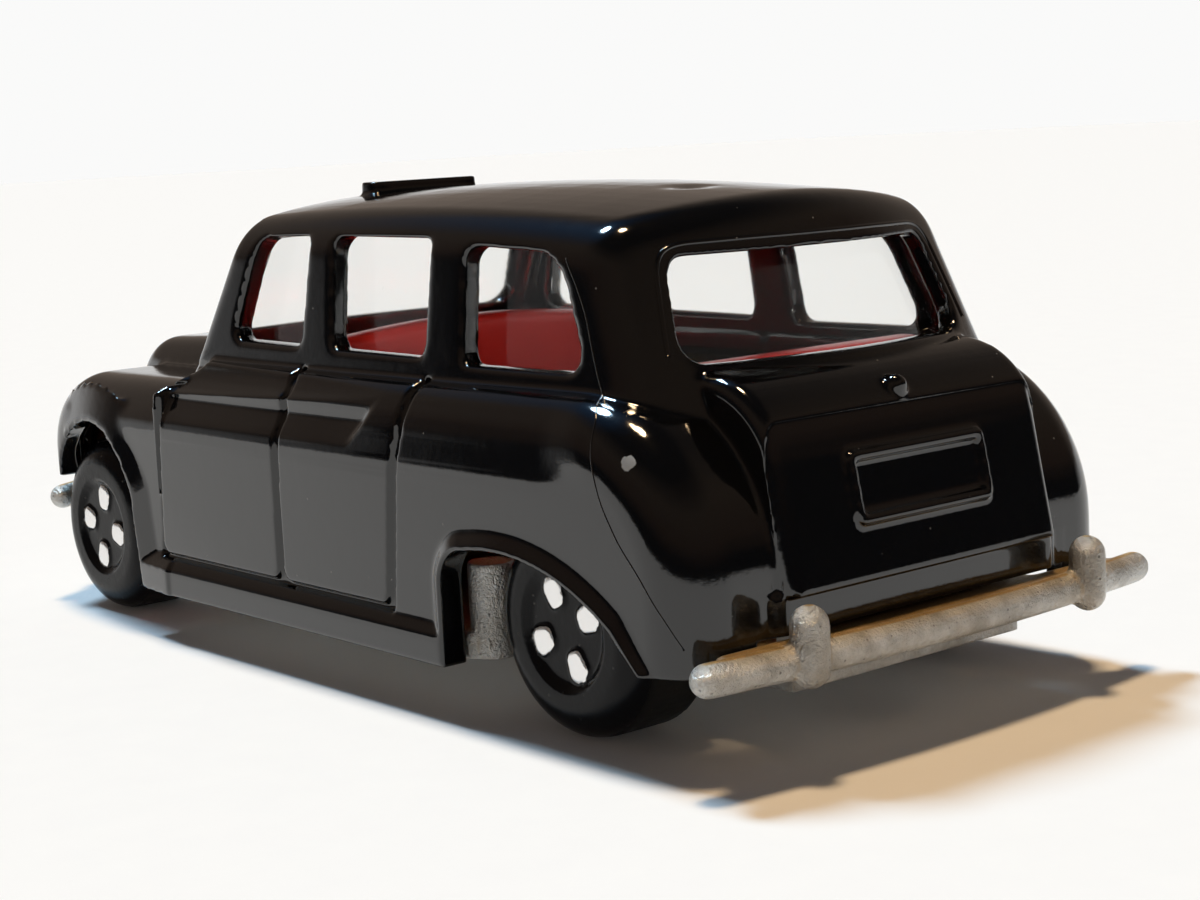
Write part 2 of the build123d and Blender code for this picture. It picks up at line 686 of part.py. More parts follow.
with BuildPart() as body_shell:
    for block in outer_low:
        add(block)
    add(outer_cabin)
    for lip in lips:
        add(lip)
    # roof sign
    with BuildSketch(Plane.XY.offset(ROOF_Z - WALL)):
        with Locations((SIGN_X, 0)):
            RectangleRounded(SIGN_LONG, 2 * SIGN_HALF, SIGN_ROUND)
    extrude(amount=SIGN_TOP_Z - ROOF_Z + WALL)
    # number plate frame
    with BuildSketch(lid.offset(-WALL / 2)):
        with Locations((0, sum(PLATE_UP) / 2)):
            RectangleRounded(2 * PLATE_HALF, PLATE_UP[1] - PLATE_UP[0], PLATE_RIM)
            offset(amount=-PLATE_RIM, mode=Mode.SUBTRACT)
    extrude(amount=WALL / 2 + PLATE_PROUD)
    # headlamps
    for side in (-1, 1):
        with BuildSketch(Plane.YZ.offset(WING_FRONT_X - LAMP_DEPTH)):
            with Locations((side * LAMP_Y, LAMP_Z)):
                Circle(LAMP_RADIUS)
        extrude(amount=LAMP_DEPTH + LAMP_PROUD)
    # boot handle
    with Locations((BOOT_REAR_X + HANDLE_SET_IN, 0, HANDLE_Z)):
        Sphere(HANDLE_RADIUS)
    for cutter in [grooves.part, inner_cabin] + inner_low + valleys + arch_cutters + window_cutters:
        add(cutter, mode=Mode.SUBTRACT)
    extrude(rear_window, amount=LENGTH, dir=(-1, 0, 0), mode=Mode.SUBTRACT)
    extrude(front_window, amount=LENGTH, dir=(1, 0, 0), mode=Mode.SUBTRACT)
    extrude(grille_opening, amount=LENGTH, dir=(1, 0, 0), mode=Mode.SUBTRACT)
    # space under the boot for the base's rear shelf
    with Locations((REAR_POST_X - RIVET_RADIUS, 0, VALANCE_Z)):
        Box(
            LENGTH,
            2 * VALANCE_HALF,
            VALANCE_Z,
            align=(Align.MAX, Align.CENTER, Align.MAX),
            mode=Mode.SUBTRACT,
        )
    # posts, spun over under the base
    for post_x, post_top in RIVET_POSTS:
        with Locations((post_x, 0, RIVET_LOW_Z)):
            Cylinder(POST_RADIUS, post_top - RIVET_LOW_Z, align=UPRIGHT)
            Cylinder(RIVET_RADIUS, RIVET_HEIGHT, align=UPRIGHT)
body_shell.part.label = "body_shell"
export_step(body_shell.part, "parts/body_shell.step")


# Base

def bumper(direction, half, bow, height, shelf_half):
    """Bowed bar with round tips, a shelf behind it and two overriders; direction is 1 in front, -1 behind."""
    tip_y = half - BUMPER_RADIUS
    bow_radius = (bow**2 + tip_y**2) / (2 * bow)
    rider_in = bow_radius - (bow_radius**2 - OVERRIDER_Y**2) ** 0.5
    reach = max(BUMPER_RADIUS, OVERRIDER_PROUD + OVERRIDER_RADIUS - rider_in)
    bar_x = direction * (LENGTH / 2 - reach)
    tip_x = bar_x - direction * bow
    rider_x = bar_x - direction * (rider_in - OVERRIDER_PROUD)
    shelf_x = tip_x - direction * SHELF_BACK
    rider_low = height - OVERRIDER_LOW + OVERRIDER_RADIUS
    rider_high = height + OVERRIDER_HIGH - OVERRIDER_RADIUS
    with BuildPart() as bar:
        with BuildLine() as path:
            ThreePointArc((tip_x, -tip_y, height), (bar_x, 0, height), (tip_x, tip_y, height))
        with BuildSketch(Plane(origin=path.line @ 0, z_dir=path.line % 0)):
            Circle(BUMPER_RADIUS)
        sweep(path=path.line)
        with Locations((tip_x, -tip_y, height), (tip_x, tip_y, height)):
            Sphere(BUMPER_RADIUS)
        with BuildSketch(Plane.XY.offset(height + SHELF_RISE)):
            with BuildLine():
                ThreePointArc((tip_x, -tip_y), (bar_x, 0), (tip_x, tip_y))
                Polyline((tip_x, tip_y), (shelf_x, tip_y), (shelf_x, -tip_y), (tip_x, -tip_y))
            make_face()
            Rectangle(2 * LENGTH, 2 * shelf_half, mode=Mode.INTERSECT)
        extrude(amount=-SHELF_THICK)
        for side in (-1, 1):
            with Locations((rider_x, side * OVERRIDER_Y, rider_low)):
                Cylinder(OVERRIDER_RADIUS, rider_high - rider_low, align=UPRIGHT)
                Sphere(OVERRIDER_RADIUS)
            with Locations((rider_x, side * OVERRIDER_Y, rider_high)):
                Sphere(OVERRIDER_RADIUS)
    return bar.part


rear_bumper = bumper(-1, REAR_BUMPER_HALF, REAR_BUMPER_BOW, REAR_BUMPER_Z, REAR_SHELF_HALF)
front_bumper = bumper(1, FRONT_BUMPER_HALF, FRONT_BUMPER_BOW, FRONT_BUMPER_Z, GRILLE_HALF - GRILLE_RIM)
grille_face = grille_outline(0)

with BuildPart() as base_plate:
    # floor, wide between the wheels
    with BuildSketch(Plane.XY.offset(BASE_LOW_Z)):
        with Locations((BASE_REAR_X, 0)):
            Rectangle(BASE_FRONT_X - BASE_REAR_X, 2 * BASE_HALF_AT_WHEELS, align=(Align.MIN, Align.CENTER))
        with Locations((REAR_AXLE_X + WELL_AHEAD, 0)):
            Rectangle(BASE_WIDE_LONG, 2 * BASE_HALF_WIDTH, align=(Align.MIN, Align.CENTER))
    extrude(amount=BASE_THICK)
    # axle bearings
    for axle_x in (REAR_AXLE_X, FRONT_AXLE_X):
        for side in (-1, 1):
            with Locations((axle_x, side * BEARING_Y, BASE_LOW_Z)):
                Box(BEARING_LONG, BEARING_THICK, BEARING_TOP_Z - BASE_LOW_Z, align=UPRIGHT)
        with Locations(Location((axle_x, 0, WHEEL_RADIUS), (90, 0, 0))):
            Cylinder(AXLE_RADIUS + RUN, 4 * BEARING_Y, mode=Mode.SUBTRACT)
    # seat for the front of the tray
    with Locations((TRAY_BOSS_X, 0, BASE_LOW_Z)):
        Box(*TRAY_BOSS, BEARING_TOP_Z - BASE_LOW_Z, align=UPRIGHT)
    # posts in the rear arches
    for side in (-1, 1):
        with Locations((REAR_AXLE_X + ARCH_POST_AHEAD, side * ARCH_POST_Y, BASE_LOW_Z)):
            Cylinder(ARCH_POST_RADIUS, ARCH_POST_TOP_Z - BASE_LOW_Z, align=UPRIGHT)
    # rear riser, joined to the bumper's shelf
    with Locations((BASE_REAR_X, 0, SHELF_Z)):
        Box(
            RISER_THICK,
            2 * BASE_HALF_AT_WHEELS,
            SHELF_Z - BASE_LOW_Z,
            align=(Align.MIN, Align.CENTER, Align.MAX),
        )
        Box(
            SHELF_LAP,
            2 * BASE_HALF_AT_WHEELS,
            SHELF_THICK,
            align=(Align.MAX, Align.CENTER, Align.MAX),
        )
    add(rear_bumper)
    # grille on its stem, which the front bumper's shelf meets
    extrude(grille_face, amount=GRILLE_DEEP + GRILLE_PROUD, dir=(1, 0, 0))
    with Locations((BASE_FRONT_X, 0, BASE_LOW_Z)):
        Box(
            STEM_THICK,
            2 * (GRILLE_HALF - GRILLE_RIM),
            sum(GRILLE_Z) / 2 - BASE_LOW_Z,
            align=(Align.MAX, Align.CENTER, Align.MIN),
        )
    add(front_bumper)
    with BuildSketch(Plane.YZ.offset(BONNET_NOSE_X + GRILLE_PROUD)):
        with Locations((0, (GRILLE_Z[0] + GRILLE_Z[1] - GRILLE_TOP_ROUND / 2) / 2)):
            with GridLocations(2 * (GRILLE_HALF - GRILLE_RIM) / GRILLE_SLOTS, 0, GRILLE_SLOTS, 1):
                Rectangle(GRILLE_SLOT_WIDTH, GRILLE_Z[1] - GRILLE_Z[0] - GRILLE_TOP_ROUND)
    extrude(amount=-GRILLE_SLOT_DEPTH, mode=Mode.SUBTRACT)
    # holes for the body's posts, sunk for their heads
    for post_x, _ in RIVET_POSTS:
        with Locations((post_x, 0, 0)):
            Cylinder(POST_RADIUS + FIT, LENGTH, mode=Mode.SUBTRACT)
            Cylinder(RIVET_RADIUS + FIT, RIVET_LOW_Z + RIVET_HEIGHT, align=UPRIGHT, mode=Mode.SUBTRACT)
base_plate.part.label = "base_plate"
export_step(base_plate.part, "parts/base_plate.step")


# Glazing

glass_outer = cabin_form(WALL + FIT)
glass_inner = cabin_form(WALL + FIT + GLASS)

with BuildPart() as glazing:
    add(glass_outer)
    add(glass_inner, mode=Mode.SUBTRACT)
    split(bisect_by=Plane.XY.offset(GLASS_LOW_Z), keep=Keep.TOP)
glazing.part.label = "glazing"
export_step(glazing.part, "parts/glazing.step")


# Seats

def bench(rear_x, front_x):
    """Side view of a bench: a cushion in front of a leaning back."""
    with BuildSketch(Plane.XZ) as outline:
        with BuildLine():
            Polyline(
                (rear_x, SEAT_LOW_Z),
                (rear_x, SEAT_TOP_Z),
                (rear_x + SEAT_BACK, SEAT_TOP_Z),
                (rear_x + SEAT_BACK + SEAT_BACK / 2, CUSHION_Z),
                (front_x, CUSHION_Z),
                (front_x, SEAT_LOW_Z),
                close=True,
            )
        make_face()
        fillet(outline.vertices().group_by(Axis.Y)[-1], SEAT_BACK / 3)
    return outline.sketch


benches = [bench(*REAR_SEAT), bench(*FRONT_SEAT)]

with BuildPart() as interior_tray:
    with Locations((TRAY_REAR_X, 0, BEARING_TOP_Z)):
        Box(
            TRAY_FRONT_X - TRAY_REAR_X,
            2 * TRAY_HALF,
            TRAY_THICK,
            align=(Align.MIN, Align.CENTER, Align.MIN),
        )
    for outline, ends in zip(benches, (REAR_SEAT, FRONT_SEAT)):
        extrude(outline, amount=SEAT_HALF, both=True)
        with Locations((ends[0], 0, BEARING_TOP_Z)):
            Box(
                ends[1] - ends[0],
                2 * TRAY_HALF,
                SEAT_LOW_Z - BEARING_TOP_Z,
                align=(Align.MIN, Align.CENTER, Align.MIN),
            )
    with Locations((TRAY_FRONT_X, 0, BEARING_TOP_Z)):
        Box(
            DASH_THICK,
            2 * SEAT_HALF,
            DASH_TOP_Z - BEARING_TOP_Z,
            align=(Align.MAX, Align.CENTER, Align.MIN),
        )
    with Locations(Location(STEERING, (0, STEERING_LEAN, 0))):
        Torus(STEERING_RADIUS, STEERING_WIRE)
        Box(2 * STEERING_WIRE, 2 * STEERING_RADIUS, STEERING_WIRE)
        Cylinder(STEERING_WIRE, TRAY_FRONT_X - STEERING[0], align=UPRIGHT)
interior_tray.part.label = "interior_tray"
export_step(interior_tray.part, "parts/interior_tray.step")


# Wheels

def wheel_form(turn):
    """A wheel on the left side: blind hub, recessed face with four pads, hollow back."""
    face = WHEEL_FACE_Y
    back = WHEEL_FACE_Y - WHEEL_WIDTH
    hub = face - HUB_DEPTH
    bore = AXLE_RADIUS + AXLE_GRIP
    shoulder_in = TYRE_SHOULDER * (1 - COS_45)
    with BuildPart() as wheel:
        with BuildSketch(Plane.XY):
            with BuildLine():
                Polyline(
                    (0, face - HUB_CLOSED),
                    (0, hub),
                    (HUB_RADIUS, hub),
                    (HUB_RADIUS, face - RIM_BEVEL),
                    (RIM_RADIUS, face),
                    (WHEEL_RADIUS - TYRE_SHOULDER, face),
                )
                ThreePointArc(
                    (WHEEL_RADIUS - TYRE_SHOULDER, face),
                    (WHEEL_RADIUS - shoulder_in, face - shoulder_in),
                    (WHEEL_RADIUS, face - TYRE_SHOULDER),
                )
                Polyline(
                    (WHEEL_RADIUS, face - TYRE_SHOULDER),
                    (WHEEL_RADIUS, back),
                    (WHEEL_BACK_RADIUS, back),
                    (WHEEL_BACK_RADIUS, back + WHEEL_BACK_DEPTH),
                    (WHEEL_BOSS_RADIUS, back + WHEEL_BACK_DEPTH),
                    (WHEEL_BOSS_RADIUS, back),
                    (bore, back),
                    (bore, face - HUB_CLOSED),
                    (0, face - HUB_CLOSED),
                )
            make_face()
        revolve(axis=Axis.Y)
        with BuildSketch(Plane(origin=(0, hub, 0), x_dir=(1, 0, 0), z_dir=(0, 1, 0))) as pads:
            with PolarLocations(PAD_RADIUS, 4, start_angle=turn):
                Trapezoid(PAD_WIDE, PAD_LONG, PAD_TAPER, rotation=90)
            fillet(pads.vertices(), PAD_ROUND)
        extrude(amount=PAD_HEIGHT)
    return wheel.part


# axle name, axle x, turn of the pads on the left wheel and on the right wheel
WHEELSETS = (("front", FRONT_AXLE_X, 80, 30), ("rear", REAR_AXLE_X, 24, 15))

for axle_name, axle_x, left_turn, right_turn in WHEELSETS:
    with BuildPart() as axle:
        with Locations(Location((axle_x, 0, WHEEL_RADIUS), (90, 0, 0))):
            Cylinder(AXLE_RADIUS, 2 * (WHEEL_FACE_Y - HUB_CLOSED))
    axle.part.label = f"{axle_name}_axle"
    export_step(axle.part, f"parts/{axle_name}_axle.step")

    left_wheel = Pos(axle_x, 0, WHEEL_RADIUS) * wheel_form(left_turn)
    left_wheel.label = f"wheel_{axle_name}_left"
    export_step(left_wheel, f"parts/wheel_{axle_name}_left.step")

    right_wheel = Pos(axle_x, 0, WHEEL_RADIUS) * mirror(wheel_form(right_turn), about=Plane.XZ)
    right_wheel.label = f"wheel_{axle_name}_right"
    export_step(right_wheel, f"parts/wheel_{axle_name}_right.step")
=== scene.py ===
import math

import bmesh
import bpy
import numpy as np
from mathutils import Matrix, Vector
from mathutils.bvhtree import BVHTree


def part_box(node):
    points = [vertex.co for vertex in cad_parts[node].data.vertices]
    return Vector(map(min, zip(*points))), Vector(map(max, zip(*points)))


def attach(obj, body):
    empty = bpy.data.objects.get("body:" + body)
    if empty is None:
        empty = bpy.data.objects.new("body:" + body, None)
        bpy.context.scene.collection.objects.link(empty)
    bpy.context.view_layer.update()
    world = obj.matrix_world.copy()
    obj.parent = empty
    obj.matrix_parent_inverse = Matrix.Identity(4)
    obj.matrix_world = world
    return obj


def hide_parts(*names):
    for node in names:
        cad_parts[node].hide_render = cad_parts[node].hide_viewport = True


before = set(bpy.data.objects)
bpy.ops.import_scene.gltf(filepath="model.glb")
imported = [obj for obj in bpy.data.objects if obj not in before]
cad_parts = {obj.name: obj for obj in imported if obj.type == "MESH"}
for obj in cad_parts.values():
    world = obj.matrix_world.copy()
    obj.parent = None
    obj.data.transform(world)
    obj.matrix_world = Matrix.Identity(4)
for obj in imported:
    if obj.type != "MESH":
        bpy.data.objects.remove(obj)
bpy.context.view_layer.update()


# Base casting
# One bare zinc casting: floor, axle bearings, grille and both bumpers with their overriders.
# It is cast in a steel mould and left unpainted, so it is dull, grained and tarnished, and its upward faces carry
# painted warm lamp light in the tarnish colour.

EVENING_PASSES = 34


def softened(cad_name, piece_name, grain, passes, triangles, reshape=None, evened=None):
    """Copy of a piece's solid with every edge rounded as a mould and a coat leave it.

    reshape moves the points, in millimetres, and evened picks those that are smoothed further.
    """
    form = bmesh.new()
    form.from_mesh(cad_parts[cad_name].data)
    bmesh.ops.remove_doubles(form, verts=form.verts, dist=1e-6)
    rough = bpy.data.meshes.new(piece_name)
    form.to_mesh(rough)
    form.free()
    piece = bpy.data.objects.new(piece_name, rough)
    bpy.context.scene.collection.objects.link(piece)
    remesh = piece.modifiers.new("grain", "REMESH")
    remesh.mode = "VOXEL"
    remesh.voxel_size = grain
    piece.data = evaluated_mesh(piece)
    piece.modifiers.clear()
    if reshape:
        points = np.zeros(len(piece.data.vertices) * 3)
        piece.data.vertices.foreach_get("co", points)
        points = reshape(points.reshape(-1, 3) * 1000) / 1000
        piece.data.vertices.foreach_set("co", points.ravel())
        piece.data.update()
    rounding = piece.modifiers.new("rounding", "SMOOTH")
    rounding.factor = 0.5
    rounding.iterations = passes
    if evened:
        chosen = np.nonzero(evened(points * 1000))[0]
        piece.vertex_groups.new(name="evened").add(chosen.tolist(), 1.0, "REPLACE")
        evening = piece.modifiers.new("evening", "SMOOTH")
        evening.factor = 0.5
        evening.iterations = EVENING_PASSES
        evening.vertex_group = "evened"
    piece.data = evaluated_mesh(piece)
    piece.modifiers.clear()
    mark_edges(piece.data, grain)
    thin_out(piece, triangles)
    return piece


def evaluated_mesh(piece):
    """The mesh of a piece with its modifiers worked in."""
    ready = piece.evaluated_get(bpy.context.evaluated_depsgraph_get())
    return bpy.data.meshes.new_from_object(ready)


def mark_edges(mesh, grain):
    """Stores on each point how sharply the surface turns there: above 0 on edges, below 0 in corners."""
    count = len(mesh.vertices)
    points = np.zeros(count * 3)
    mesh.vertices.foreach_get("co", points)
    points = points.reshape(-1, 3)
    normals = np.zeros(count * 3)
    mesh.vertices.foreach_get("normal", normals)
    normals = normals.reshape(-1, 3)
    ends = np.zeros(len(mesh.edges) * 2, dtype=np.int64)
    mesh.edges.foreach_get("vertices", ends)
    first, second = ends.reshape(-1, 2).T
    total = np.zeros((count, 3))
    np.add.at(total, first, points[second])
    np.add.at(total, second, points[first])
    links = np.bincount(ends, minlength=count)[:, None]
    turn = -((total / links - points) * normals).sum(axis=1) / grain
    layer = mesh.attributes.new("turn", "FLOAT", "POINT")
    layer.data.foreach_set("value", turn.astype(np.float32))


def thin_out(piece, triangles):
    """Brings a fine mesh down to a number of triangles and keeps its smooth shading."""
    fine = piece.data
    fine.shade_smooth()
    guide = bpy.data.objects.new(piece.name + "_guide", fine)
    bpy.context.scene.collection.objects.link(guide)
    share = triangles / sum(len(face.vertices) - 2 for face in fine.polygons)
    if share < 1:
        piece.data = fine.copy()
        thin = piece.modifiers.new("thin", "DECIMATE")
        thin.ratio = share
        shade = piece.modifiers.new("shade", "DATA_TRANSFER")
        shade.object = guide
        shade.use_loop_data = True
        shade.data_types_loops = {"CUSTOM_NORMAL"}
        shade.loop_mapping = "POLYINTERP_NEAREST"
        piece.data = evaluated_mesh(piece)
        piece.modifiers.clear()
    bpy.data.objects.remove(guide)


def new_group(name, inputs, outputs):
    """Empty shader node group with named sockets; returns the group and its two end nodes."""
    group = bpy.data.node_groups.new(name, "ShaderNodeTree")
    for label, kind, value in inputs:
        socket = group.interface.new_socket(name=label, in_out="INPUT", socket_type=kind)
        if value is not None:
            socket.default_value = value
    for label, kind in outputs:
        group.interface.new_socket(name=label, in_out="OUTPUT", socket_type=kind)
    start = group.nodes.new("NodeGroupInput")
    end = group.nodes.new("NodeGroupOutput")
    return group, start, end


def node(tree, kind, links=None, **settings):
    """Adds a node, sets its properties, and links or sets its inputs."""
    made = tree.nodes.new(kind)
    for key, value in settings.items():
        setattr(made, key, value)
    for key, value in (links or {}).items():
        socket = made.inputs[key]
        if isinstance(value, bpy.types.NodeSocket):
            tree.links.new(value, socket)
        else:
            socket.default_value = value
    return made


def new_material(name):
    """Material with an empty tree; returns it, its tree, its shader and its place in millimetres."""
    material = bpy.data.materials.new(name)
    material.use_nodes = True
    tree = material.node_tree
    shader = tree.nodes["Principled BSDF"]
    place = node(tree, "ShaderNodeTexCoord")
    scaled = node(tree, "ShaderNodeVectorMath", {0: place.outputs["Object"], 1: (1000, 1000, 1000)},
                  operation="MULTIPLY")
    return material, tree, shader, scaled.outputs["Vector"]


# Mottle: a soft cloud of two sizes, from 0 to 1, for colour and gloss that drift over a surface
mottle, start, end = new_group(
    "mottle",
    [("Place", "NodeSocketVector", None), ("Size", "NodeSocketFloat", 1.0), ("Contrast", "NodeSocketFloat", 0.2)],
    [("Mask", "NodeSocketFloat")],
)
per_size = node(mottle, "ShaderNodeMath", {0: 1.0, 1: start.outputs["Size"]}, operation="DIVIDE")
cloud = node(mottle, "ShaderNodeTexNoise",
             {"Vector": start.outputs["Place"], "Scale": per_size.outputs[0], "Detail": 5.0, "Roughness": 0.6})
low = node(mottle, "ShaderNodeMath", {0: 0.5, 1: start.outputs["Contrast"]}, operation="SUBTRACT")
high = node(mottle, "ShaderNodeMath", {0: 0.5, 1: start.outputs["Contrast"]}, operation="ADD")
spread = node(mottle, "ShaderNodeMapRange",
              {"Value": cloud.outputs["Fac"], "From Min": low.outputs[0], "From Max": high.outputs[0]})
mottle.links.new(spread.outputs["Result"], end.inputs["Mask"])

# Specks: scattered small round spots, such as dust under a coat or pits in a casting
specks, start, end = new_group(
    "specks",
    [("Place", "NodeSocketVector", None), ("Spacing", "NodeSocketFloat", 1.0),
     ("Radius", "NodeSocketFloat", 0.1), ("Share", "NodeSocketFloat", 0.3)],
    [("Mask", "NodeSocketFloat")],
)
per_spacing = node(specks, "ShaderNodeMath", {0: 1.0, 1: start.outputs["Spacing"]}, operation="DIVIDE")
cells = node(specks, "ShaderNodeTexVoronoi", {"Vector": start.outputs["Place"], "Scale": per_spacing.outputs[0]})
spot = node(specks, "ShaderNodeMapRange",
            {"Value": cells.outputs["Distance"], "From Min": start.outputs["Radius"], "From Max": 0.0})
chance = node(specks, "ShaderNodeSeparateColor", {"Color": cells.outputs["Color"]})
kept = node(specks, "ShaderNodeMath", {0: chance.outputs[0], 1: start.outputs["Share"]}, operation="LESS_THAN")
spotted = node(specks, "ShaderNodeMath", {0: spot.outputs["Result"], 1: kept.outputs[0]}, operation="MULTIPLY")
specks.links.new(spotted.outputs[0], end.inputs["Mask"])


def placed(tree, group, links):
    """A node group placed in a tree with its own values; returns its only output."""
    return node(tree, "ShaderNodeGroup", links, node_tree=group).outputs[0]


def mixed(tree, mask, below, above):
    """Colour that goes from below to above as mask goes from 0 to 1."""
    below, above = (end if isinstance(end, bpy.types.NodeSocket) else (*end, 1) for end in (below, above))
    return node(tree, "ShaderNodeMix", {"Factor": mask, 6: below, 7: above}, data_type="RGBA").outputs[2]


def ranged(tree, value, low, high, out_low, out_high):
    """A value stretched from one range to another, held at both ends."""
    made = node(tree, "ShaderNodeMapRange",
                {"Value": value, "From Min": low, "From Max": high, "To Min": out_low, "To Max": out_high})
    return made.outputs["Result"]


def turn_of(tree):
    """How sharply the surface turns, as stored on the mesh."""
    return node(tree, "ShaderNodeAttribute", None, attribute_name="turn").outputs["Fac"]


zinc, tree, shader, place = new_material("cast_zinc")
ZINC_PALE = (0.74, 0.735, 0.71)
ZINC_DULL = (0.42, 0.41, 0.385)
# Gold-brown for tarnish in stains and hollows, and also for painted warm lamp light on upward faces.
ZINC_TARNISH_AND_PAINTED_WARM_LIGHT = (0.46, 0.31, 0.115)
drift = placed(tree, mottle, {"Place": place, "Size": 1.6, "Contrast": 0.16})
fine = placed(tree, mottle, {"Place": place, "Size": 0.16, "Contrast": 0.22})
stain = placed(tree, mottle, {"Place": place, "Size": 2.6, "Contrast": 0.09})
pits = placed(tree, specks, {"Place": place, "Spacing": 0.26, "Radius": 0.3, "Share": 0.16})
metal = mixed(tree, drift, ZINC_DULL, ZINC_PALE)
hollow = ranged(tree, turn_of(tree), -0.01, -0.08, 0.0, 0.8)
facing = node(tree, "ShaderNodeSeparateXYZ", {0: node(tree, "ShaderNodeTexCoord").outputs["Normal"]}).outputs["Z"]
# Upward-facing surfaces take the gold-brown colour as painted warm lamp light on the tops, not as tarnish.
painted_lit_tops = ranged(tree, facing, 0.95, 0.99, 0.0, 0.9)
stained = node(tree, "ShaderNodeMath", {0: stain, 1: 0.1}, operation="MULTIPLY").outputs[0]
tarnish_and_painted_light = node(tree, "ShaderNodeMath", {0: stained, 1: hollow}, operation="MAXIMUM").outputs[0]
tarnish_and_painted_light = node(tree, "ShaderNodeMath", {0: tarnish_and_painted_light, 1: painted_lit_tops}, operation="MAXIMUM").outputs[0]
metal = mixed(tree, tarnish_and_painted_light, metal, ZINC_TARNISH_AND_PAINTED_WARM_LIGHT)
metal = mixed(tree, pits, metal, (0.16, 0.15, 0.14))
tree.links.new(metal, shader.inputs["Base Color"])
shader.inputs["Metallic"].default_value = 1.0
tree.links.new(ranged(tree, fine, 0, 1, 0.26, 0.5), shader.inputs["Roughness"])
grain_height = node(tree, "ShaderNodeMath", {0: fine, 1: pits}, operation="SUBTRACT").outputs[0]
bump = node(tree, "ShaderNodeBump", {"Height": grain_height, "Strength": 0.8, "Distance": 0.00009})
tree.links.new(bump.outputs["Normal"], shader.inputs["Normal"])

base = softened("base_plate", "base_casting", 0.00014, 5, 150000)
base.data.materials.clear()
base.data.materials.append(zinc)
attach(base, "chassis")
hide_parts("base_plate")


# Axles
# Two straight pieces of drawn steel wire, pressed into the wheels and running in the base.
# They stay bright in the middle and are a little rubbed at the bearings.

wire, tree, shader, place = new_material("axle_wire")
drawn = node(tree, "ShaderNodeMapping", {"Vector": place, "Scale": (1.0, 0.05, 1.0)}).outputs["Vector"]
streaks = placed(tree, mottle, {"Place": drawn, "Size": 0.12, "Contrast": 0.25})
tree.links.new(mixed(tree, streaks, (0.42, 0.41, 0.40), (0.62, 0.61, 0.60)), shader.inputs["Base Color"])
shader.inputs["Metallic"].default_value = 1.0
tree.links.new(ranged(tree, streaks, 0, 1, 0.25, 0.4), shader.inputs["Roughness"])
for axle in ("front_axle", "rear_axle"):
    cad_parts[axle].data.materials.clear()
    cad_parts[axle].data.materials.append(wire)


# Wheels
# One-piece black plastic wheels with a raised rim ring and four pads on the hub.
# Silver foil is hot-stamped on the pads, and rolling has dulled the tread.

WHEEL_RADIUS = 0.00495
HUB_DEPTH = 0.0003
FOIL_RADIUS = 0.0024
FOIL_WEAR = 0.00006

for end_name, side in (("front", "left"), ("front", "right"), ("rear", "left"), ("rear", "right")):
    cad_name = f"wheel_{end_name}_{side}"
    low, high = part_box(cad_name)
    axle_place = ((low.x + high.x) / 2, 0, (low.z + high.z) / 2)
    hub_face = max(-low.y, high.y) - HUB_DEPTH
    wheel = softened(cad_name, f"{cad_name}_moulding", 0.0001, 3, 45000)
    plastic, tree, shader, place = new_material(f"{cad_name}_plastic")
    coords = node(tree, "ShaderNodeTexCoord").outputs["Object"]
    centred = node(tree, "ShaderNodeVectorMath", {0: coords, 1: axle_place}, operation="SUBTRACT").outputs[0]
    flat = node(tree, "ShaderNodeVectorMath", {0: centred, 1: (1, 0, 1)}, operation="MULTIPLY").outputs[0]
    radius = node(tree, "ShaderNodeVectorMath", {0: flat}, operation="LENGTH").outputs["Value"]
    across = node(tree, "ShaderNodeSeparateXYZ", {0: coords}).outputs["Y"]
    outward = node(tree, "ShaderNodeMath", {0: across}, operation="ABSOLUTE").outputs[0]
    ragged = placed(tree, mottle, {"Place": place, "Size": 0.25, "Contrast": 0.3})
    worn_height = node(tree, "ShaderNodeMath", {0: ragged, 1: -FOIL_WEAR, 2: outward}, operation="MULTIPLY_ADD")
    on_pad = ranged(tree, worn_height.outputs[0], hub_face + 0.00008, hub_face + 0.0001, 0.0, 1.0)
    near_hub = ranged(tree, radius, FOIL_RADIUS, FOIL_RADIUS + 0.00002, 1.0, 0.0)
    foil = node(tree, "ShaderNodeMath", {0: on_pad, 1: near_hub}, operation="MULTIPLY").outputs[0]
    rubbed = ranged(tree, radius, WHEEL_RADIUS - 0.00012, WHEEL_RADIUS - 0.00002, 0.0, 1.0)
    dust = placed(tree, specks, {"Place": place, "Spacing": 0.5, "Radius": 0.16, "Share": 0.3})
    black = mixed(tree, rubbed, (0.0035, 0.0035, 0.004), (0.008, 0.0075, 0.007))
    black = mixed(tree, node(tree, "ShaderNodeMath", {0: dust, 1: 0.25}, operation="MULTIPLY").outputs[0],
                  black, (0.25, 0.24, 0.22))
    tree.links.new(mixed(tree, foil, black, (0.88, 0.87, 0.86)), shader.inputs["Base Color"])
    tree.links.new(node(tree, "ShaderNodeMath", {0: foil, 1: 0.85}, operation="MULTIPLY").outputs[0],
                   shader.inputs["Metallic"])
    shader.inputs["Specular IOR Level"].default_value = 0.13
    smear = placed(tree, mottle, {"Place": place, "Size": 0.9, "Contrast": 0.2})
    gloss = ranged(tree, smear, 0, 1, 0.14, 0.26)
    gloss = node(tree, "ShaderNodeMath", {0: rubbed, 1: 0.2, 2: gloss}, operation="MULTIPLY_ADD").outputs[0]
    tree.links.new(gloss, shader.inputs["Roughness"])
    bump = node(tree, "ShaderNodeBump", {"Height": smear, "Strength": 0.3, "Distance": 0.00003})
    tree.links.new(bump.outputs["Normal"], shader.inputs["Normal"])
    wheel.data.materials.clear()
    wheel.data.materials.append(plastic)
    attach(wheel, f"{end_name}_wheelset")
    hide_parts(cad_name)


# Seats
# One red plastic moulding with two benches, the dashboard and the steering wheel.
# It sits on the axle bearings under the glazing and shows through the windows.

